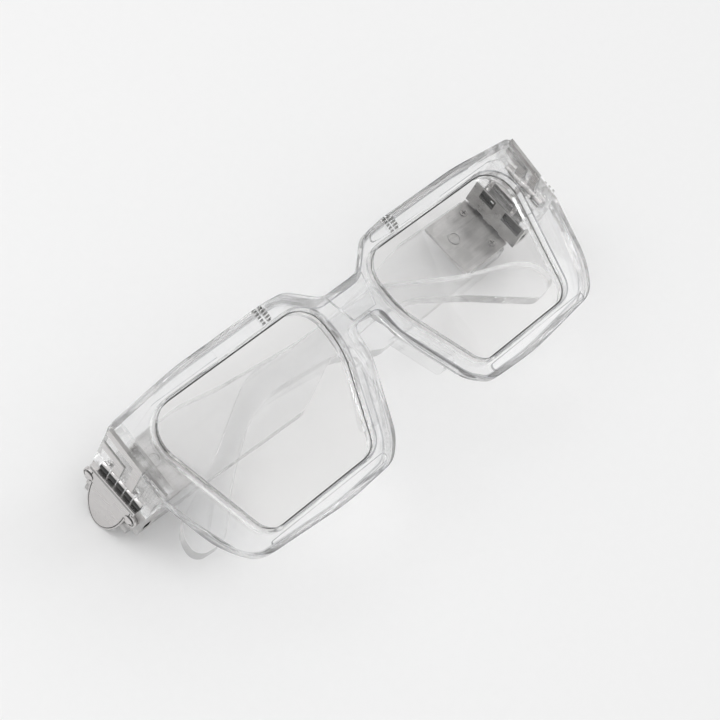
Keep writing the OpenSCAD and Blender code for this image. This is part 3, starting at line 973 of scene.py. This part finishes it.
class Eyeglasses:
    """Builds every visible piece of the glasses."""

    # Where the lens's line of painted shade lies: how much of the lens the rim hides, and the line's width.
    LENS_HIDDEN = 0.55
    LENS_LINE = 0.3
    LENS_FACING = 0.97
    PAD_CUTS = 3
    PAD_PASSES = 8
    PAD_PULL = 0.5

    def __init__(self, frame: dict) -> None:
        self.pose = Pose.from_joints(frame["joints"])
        self.shop = MeshShop(frame["nodes"])
        self.body_of = {
            node: body for body, nodes in frame["record"]["behaviour"]["bodies"].items() for node in nodes
        }

    def build(self) -> None:
        """Builds the front, the metal on its end pieces and then the other pairs."""
        ClearFront().build(self.shop, self.pose)
        hinges = HingeSet()
        for side in Side:
            to_row = self.pose.side_matrix(side)
            to_side = to_row.inverted()
            plate, block, row = (f"{kind}_{side.word}" for kind in ("side_plate", "hinge_block", "knuckle_row"))
            hinges.side_plate(self.shop, to_side, plate, self.body_of[plate])
            hinges.hinge_block(self.shop, to_side, block, self.body_of[block])
            hinges.knuckle_row(self.shop, to_row, row, self.body_of[row], side)
            for rounding in ROUNDINGS:
                self.build_pair_piece(rounding, side)

    def build_pair_piece(self, rounding: Rounding, side: Side) -> None:
        """One piece of a left and right pair, with its edges rounded.

        Args:
            rounding: how its kind is worked up.
            side: side of the glasses.
        """
        node = f"{rounding.kind}_{side.word}"
        mesh = self.shop.copy_solid(node)
        self.shop.round_edges(mesh, rounding.reach * MM, rounding.segments, rounding.angle, index=rounding.index)
        if rounding.painted:
            hinge = rounding.frame is Measured.HINGE
            to_row = self.pose.side_matrix(side) if hinge else self.pose.temple_matrix(side)
            self.shop.paint(mesh, 1, to_row.inverted(), rounding.painted)
        if rounding.kind == "lens":
            self._line_lens(mesh)
        elif rounding.kind == "nose_pad":
            self._soften_pad(mesh)
        self.shop.finish(mesh, f"{node}_made", rounding.finishes, self.body_of[node], [node])

    def _line_lens(self, mesh: bmesh.types.BMesh) -> None:
        """Draws a dark line of painted shade for the lens's groove, just inside the rim's opening.

        Args:
            mesh: the lens.
        """
        turn = self.pose.matrix.inverted().to_3x3()
        face = [f for f in mesh.faces if (turn @ f.normal).normalized().z > self.LENS_FACING]
        for item in self.shop.draw_line(mesh, face, self.LENS_HIDDEN, self.LENS_LINE):
            item.material_index = 1

    def _soften_pad(self, mesh: bmesh.types.BMesh) -> None:
        """Divides a nose pad finely and smooths it.

        Args:
            mesh: the pad.
        """
        bmesh.ops.subdivide_edges(mesh, edges=mesh.edges, cuts=self.PAD_CUTS, use_grid_fill=True)
        for _ in range(self.PAD_PASSES):
            bmesh.ops.smooth_vert(
                mesh, verts=mesh.verts, factor=self.PAD_PULL, use_axis_x=True, use_axis_y=True, use_axis_z=True)


@dataclass(frozen=True)
class CameraView:
    """The photograph's view, measured in the front's own frame."""

    place: Vector = Vector((-266.4846, -5.5879, 409.8800)) * MM
    turn: Quaternion = Quaternion((0.90967381, 0.09437788, -0.26000407, -0.30981327))
    lens: float = 100.0
    sensor: float = 36.0
    clip: Span = (0.01, 20.0)

    def make(self, pose: Pose) -> None:
        """Adds the camera and makes it the scene's.

        Args:
            pose: how the front lies.
        """
        data = bpy.data.cameras.new("Camera")
        data.lens = self.lens
        data.sensor_width = self.sensor
        data.sensor_fit = "HORIZONTAL"
        data.clip_start, data.clip_end = self.clip
        camera = bpy.data.objects.new("Camera", data)
        bpy.context.scene.collection.objects.link(camera)
        camera.matrix_world = pose.matrix @ Matrix.Translation(self.place) @ self.turn.to_matrix().to_4x4()
        bpy.context.scene.camera = camera


@dataclass(frozen=True)
class SoftBox:
    """A square studio light aimed at the glasses, with its width in metres and its power in watts."""

    name: str
    place: Vector
    width: float
    power: float

    def make(self, aim: Vector) -> None:
        """Adds the light.

        Args:
            aim: the point that it faces.
        """
        data = bpy.data.lights.new(self.name, "AREA")
        data.shape = "RECTANGLE"
        data.size = data.size_y = self.width
        data.energy = self.power
        lamp = bpy.data.objects.new(self.name, data)
        bpy.context.scene.collection.objects.link(lamp)
        lamp.location = self.place
        lamp.rotation_mode = "QUATERNION"
        lamp.rotation_quaternion = (aim - self.place).to_track_quat("-Z", "Y")


@dataclass(frozen=True)
class Studio:
    """Floor, light and camera, in metres."""

    soft_boxes: tuple[SoftBox, ...] = (
        SoftBox("Key", Vector((-0.55, 0.62, 0.95)), 0.7, 4.1),
        SoftBox("Fill", Vector((0.75, -0.35, 0.7)), 0.4, 0.7),
    )
    aim: Vector = Vector((0, 0, 0.02))
    table_size: float = 4.0
    table_drop: float = 0.0001
    dim_band: Span = (0.1, 0.5)
    dim: Colour = (0.26, 0.26, 0.26)
    bright: Colour = (1.0, 1.0, 1.0)
    sky_strength: float = 0.9

    def build(self, pose: Pose) -> None:
        """Sets up the table, the soft light and the photograph's camera.

        Args:
            pose: how the front lies.
        """
        self._table()
        self._sky()
        for box in self.soft_boxes:
            box.make(self.aim)
        CameraView().make(pose)
        bpy.context.scene.view_settings.view_transform = "Standard"

    def _table(self) -> None:
        """Adds the table, just under the glasses."""
        mesh = bmesh.new()
        bmesh.ops.create_grid(mesh, x_segments=2, y_segments=2, size=self.table_size)
        data = bpy.data.meshes.new("Table")
        mesh.to_mesh(data)
        mesh.free()
        data.materials.append(MattTable().material())
        table = bpy.data.objects.new("Table", data)
        table.location.z = -self.table_drop
        bpy.context.scene.collection.objects.link(table)

    def _sky(self) -> None:
        """Even white overhead with a dim band near the horizon, which draws the clear edges dark."""
        world = bpy.data.worlds.new("Studio")
        world.use_nodes = True
        bpy.context.scene.world = world
        tree = world.node_tree
        tree.nodes.clear()
        place = add_node(tree, "ShaderNodeTexCoord", {}, {}).out("Generated")
        height = add_node(tree, "ShaderNodeSeparateXYZ", {}, {0: place}).out("Z")
        colour = height.remap(*self.dim_band).mix(self.dim, self.bright)
        light = add_node(tree, "ShaderNodeBackground", {}, {"Color": colour, "Strength": self.sky_strength}).out(0)
        add_node(tree, "ShaderNodeOutputWorld", {}, {"Surface": light})


def main() -> None:
    """Builds the scene."""
    logging.basicConfig(level=logging.INFO, format="%(name)s: %(message)s")
    for thing in list(bpy.data.objects):
        bpy.data.objects.remove(thing)
    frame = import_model()
    glasses = Eyeglasses(frame)
    glasses.build()
    Studio().build(glasses.pose)


if __name__ == "__main__":
    main()
